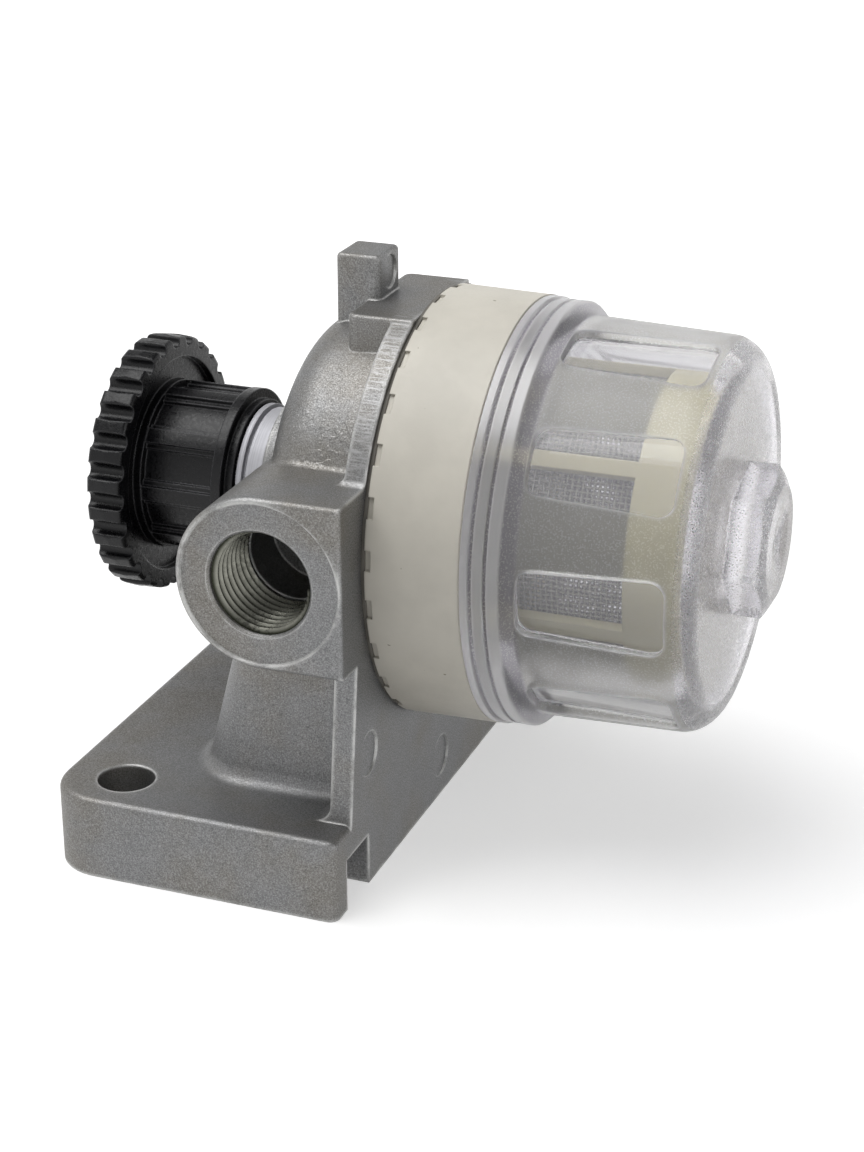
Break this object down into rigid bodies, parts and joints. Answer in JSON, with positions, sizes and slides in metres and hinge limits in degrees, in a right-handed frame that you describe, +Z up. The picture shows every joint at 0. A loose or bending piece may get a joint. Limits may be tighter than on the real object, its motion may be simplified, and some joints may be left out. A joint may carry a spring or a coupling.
{
  "type": "fuel priming pump",
  "caption": "Hand fuel priming pump: cast foot and body, opposed threaded ports, lobed plunger knob and clear screw-on strainer bowl.",
  "frame": {"origin": "foot's bottom face, midway between the bolt holes", "axes": "+X along the pump axis from knob to bowl, -Y out of the inlet port, +Z up from the foot"},
  "size_m": [0.1053, 0.089, 0.0909],
  "materials": {
    "cast_aluminium": "matte as cast",
    "turned_aluminium": "bright turned",
    "cream_plastic": "matte moulded",
    "cage_plastic": "moulded",
    "clear_plastic": "clear with frosted bands",
    "black_plastic": "semi-gloss moulded",
    "seal_rubber": "smooth",
    "gasket_fibre": "matte",
    "steel": "bright",
    "bush_brass": "machined"
  },
  "bodies": {
    "casting": {"housing": "cast_aluminium", "flange_gasket": "gasket_fibre", "valve_ring": "cream_plastic", "ring_screws": "steel", "suction_valve_spring": "steel", "suction_valve_cage": "cage_plastic", "delivery_valve_spring": "steel", "delivery_valve_retainer": "bush_brass", "strainer_cage": "cage_plastic", "strainer_mesh": "steel", "strainer_seal": "seal_rubber", "barrel": "turned_aluminium", "barrel_seal": "seal_rubber", "rod_bush": "bush_brass", "rod_seal": "seal_rubber", "bush_circlip": "steel"},
    "plunger": {"plunger_rod": "steel", "piston": "turned_aluminium", "piston_seal": "seal_rubber", "piston_nut": "steel", "knob_screw": "steel", "knob_washer": "steel"},
    "knob": {"knob": "black_plastic"},
    "bowl_seal": {"bowl_seal": "seal_rubber"},
    "bowl": {"bowl": "clear_plastic"},
    "suction_valve": {"suction_valve_disc": "steel"},
    "delivery_valve": {"delivery_valve_disc": "steel"}
  },
  "joints": [
    {"name": "plunger_stroke", "type": "slide", "parent": "casting", "child": "plunger", "axis": [-1, 0, 0], "range_m": [0, 0.0145]},
    {"name": "knob_turn", "type": "hinge", "parent": "plunger", "child": "knob", "pos_m": [0, 0, 0.052], "axis": [1, 0, 0], "continuous": true},
    {"name": "bowl_draw_off", "type": "slide", "parent": "casting", "child": "bowl_seal", "axis": [1, 0, 0], "range_m": [0, 0.045]},
    {"name": "bowl_turn", "type": "hinge", "parent": "bowl_seal", "child": "bowl", "pos_m": [0.07, 0, 0.052], "axis": [1, 0, 0], "continuous": true},
    {"name": "suction_valve_lift", "type": "slide", "parent": "casting", "child": "suction_valve", "axis": [-1, 0, 0], "range_m": [0, 0.0015], "stiffness_N_per_m": 60, "springref_m": -0.001, "deforming": ["suction_valve_spring"]},
    {"name": "delivery_valve_lift", "type": "slide", "parent": "casting", "child": "delivery_valve", "axis": [0, 1, 0], "range_m": [0, 0.0015], "stiffness_N_per_m": 60, "springref_m": -0.001, "deforming": ["delivery_valve_spring"]}
  ]
}
